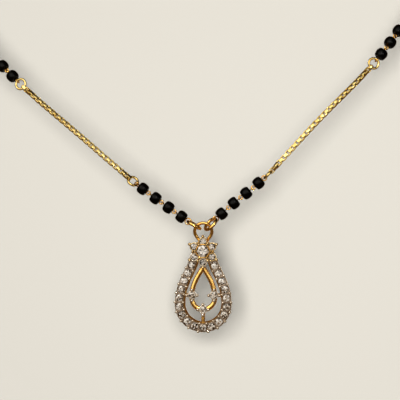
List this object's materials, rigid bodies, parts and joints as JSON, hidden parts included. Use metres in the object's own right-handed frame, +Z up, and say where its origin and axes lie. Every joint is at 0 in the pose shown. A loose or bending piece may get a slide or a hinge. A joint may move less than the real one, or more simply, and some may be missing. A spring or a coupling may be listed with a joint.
{
  "type": "mangalsutra",
  "caption": "Necklace of black beads and gold box chain with an open drop pendant of small white stones, in the form it is worn in.",
  "frame": {"origin": "on the axis of the neck, at the height of the clasp: the seat by which the necklace is held up", "axes": "+Z up along the neck, the pendant faces -Y, +X is to the right of a viewer who faces the pendant"},
  "size_m": [0.1259, 0.122, 0.1304],
  "materials": {
    "gold": "polished yellow gold",
    "white_stone": "brilliant cut, clear",
    "black_bead": "glossy black glass"
  },
  "bodies": {
    "chain": {"end_link_left": "gold", "end_link_right": "gold", "beads_left_1": "black_bead", "beads_left_2": "black_bead", "beads_left_3": "black_bead", "beads_left_4": "black_bead", "beads_left_5": "black_bead", "beads_right_1": "black_bead", "beads_right_2": "black_bead", "beads_right_3": "black_bead", "beads_right_4": "black_bead", "beads_right_5": "black_bead", "bead_pins_left_1": "gold", "bead_pins_left_2": "gold", "bead_pins_left_3": "gold", "bead_pins_left_4": "gold", "bead_pins_left_5": "gold", "bead_pins_right_1": "gold", "bead_pins_right_2": "gold", "bead_pins_right_3": "gold", "bead_pins_right_4": "gold", "bead_pins_right_5": "gold", "jump_ring_left_1": "gold", "jump_ring_left_2": "gold", "jump_ring_left_3": "gold", "jump_ring_left_4": "gold", "jump_ring_left_5": "gold", "jump_ring_left_6": "gold", "jump_ring_left_7": "gold", "jump_ring_left_8": "gold", "jump_ring_left_9": "gold", "jump_ring_left_10": "gold", "jump_ring_right_1": "gold", "jump_ring_right_2": "gold", "jump_ring_right_3": "gold", "jump_ring_right_4": "gold", "jump_ring_right_5": "gold", "jump_ring_right_6": "gold", "jump_ring_right_7": "gold", "jump_ring_right_8": "gold", "jump_ring_right_9": "gold", "jump_ring_right_10": "gold", "box_chain_left_1": "gold", "box_chain_left_2": "gold", "box_chain_left_3": "gold", "box_chain_left_4": "gold", "box_chain_left_5": "gold", "box_chain_right_1": "gold", "box_chain_right_2": "gold", "box_chain_right_3": "gold", "box_chain_right_4": "gold", "box_chain_right_5": "gold", "clasp": "gold"},
    "pendant": {"pendant_frame": "gold", "centre_stone": "white_stone", "petal_stones": "white_stone", "band_stones": "white_stone", "accent_stones": "white_stone"}
  },
  "joints": [
    {"name": "pendant_swing", "type": "hinge", "parent": "chain", "child": "pendant", "pos_m": [0, -0.06, -0.10745], "axis": [1, 0, 0], "range_deg": [-30, 30]}
  ]
}
